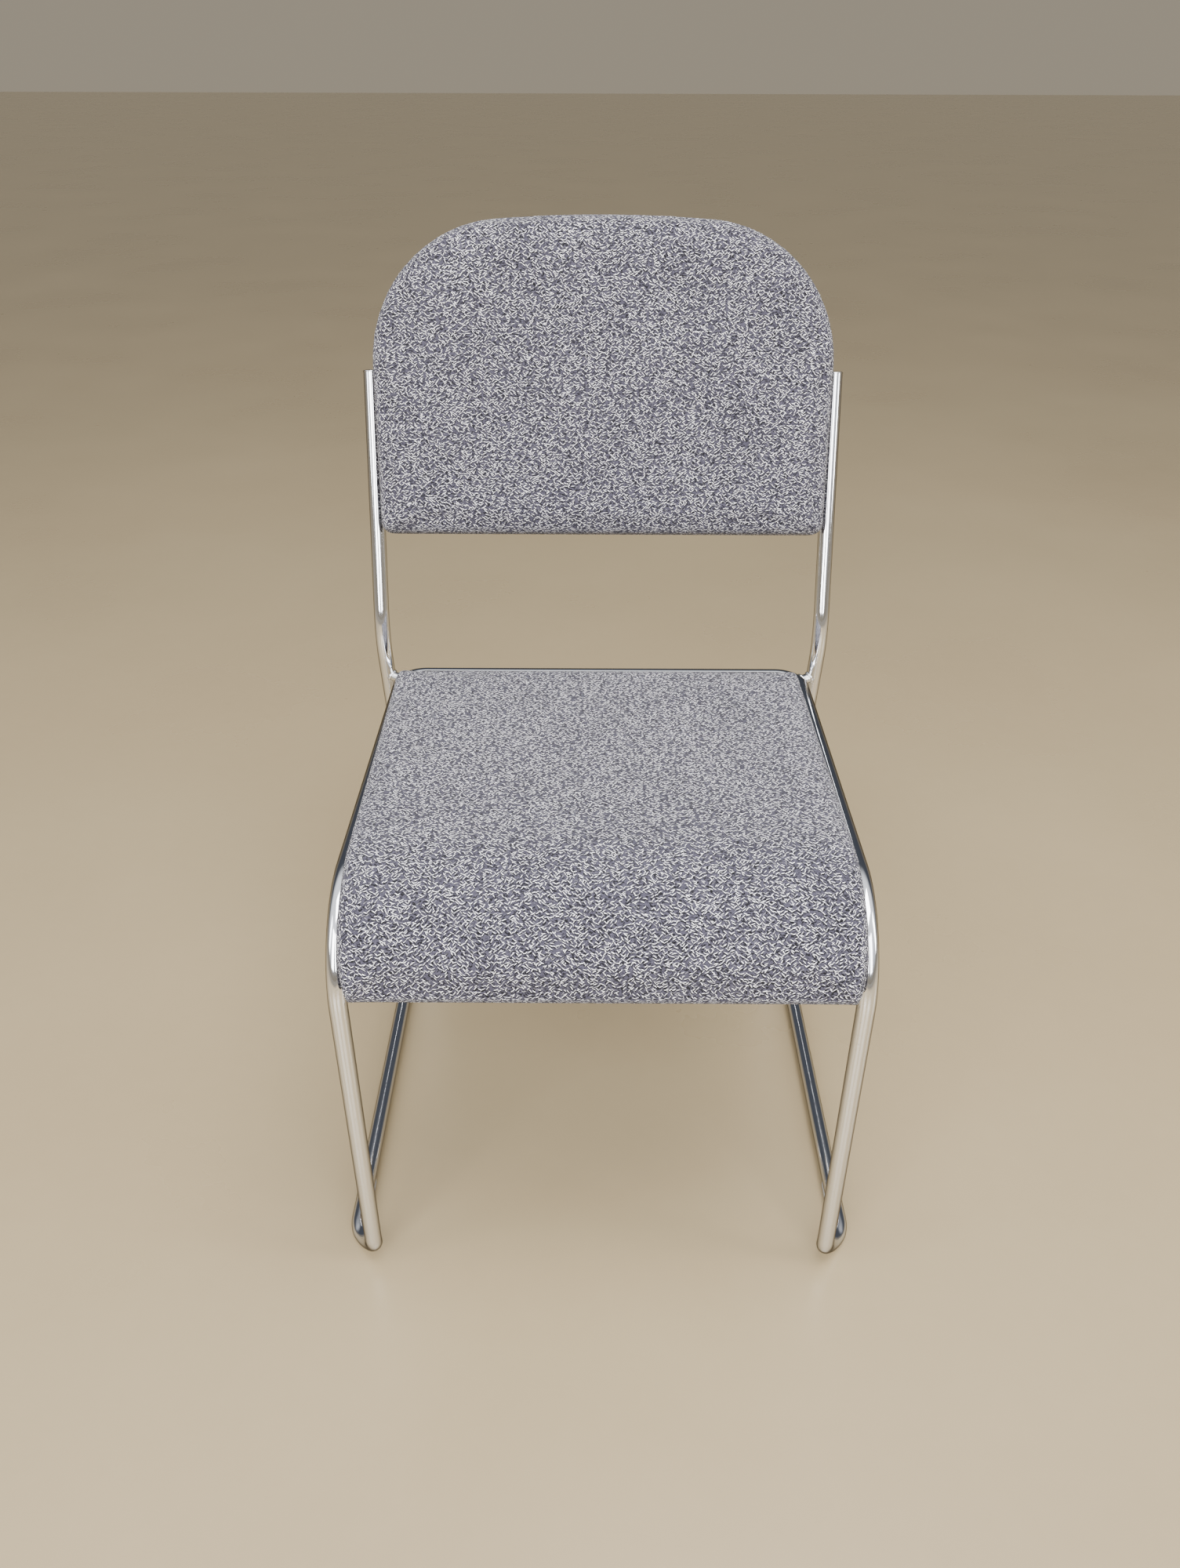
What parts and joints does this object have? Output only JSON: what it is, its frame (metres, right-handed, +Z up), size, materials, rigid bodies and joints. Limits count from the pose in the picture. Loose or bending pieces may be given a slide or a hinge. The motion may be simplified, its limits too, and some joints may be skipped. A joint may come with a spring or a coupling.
{
  "type": "stacking chair",
  "caption": "Stacking side chair with a chromed sled-base tube frame, a padded seat that turns down over the front bend, and a padded back with large round upper corners.",
  "frame": {"origin": "centre of the bounding box in plan, on the floor under the chair", "axes": "+Z up; the chair faces -Y, and its two side frames mirror each other about x = 0"},
  "size_m": [0.497, 0.572, 0.8749],
  "materials": {
    "chrome": "polished",
    "zinc": "zinc plated",
    "fabric": "woven tweed, salt and pepper",
    "foam": "open cell",
    "plywood": "sanded",
    "lining": "non-woven",
    "shell": "matte",
    "nylon": "satin"
  },
  "bodies": {
    "root": {"side_frame_left": "chrome", "side_frame_right": "chrome", "corner_lug_left": "chrome", "corner_lug_right": "chrome", "upright_cap_left": "chrome", "upright_cap_right": "chrome", "back_tab_lower_left": "chrome", "back_tab_lower_right": "chrome", "back_tab_upper_left": "chrome", "back_tab_upper_right": "chrome", "cross_tube_sleeve": "zinc", "seat_brace": "zinc", "seat_tab_front_left": "zinc", "seat_tab_front_right": "zinc", "seat_tab_rear_left": "zinc", "seat_tab_rear_right": "zinc", "seat_screw_front_left": "zinc", "seat_screw_front_right": "zinc", "seat_screw_rear_left": "zinc", "seat_screw_rear_right": "zinc", "back_screw_lower_left": "zinc", "back_screw_lower_right": "zinc", "back_screw_upper_left": "zinc", "back_screw_upper_right": "zinc", "seat_cover": "fabric", "back_cover": "fabric", "seat_foam": "foam", "back_foam": "foam", "seat_board": "plywood", "back_board": "plywood", "seat_lining": "lining", "back_panel": "shell", "glide_front_left": "nylon", "glide_front_right": "nylon", "glide_rear_left": "nylon", "glide_rear_right": "nylon"}
  },
  "joints": []
}
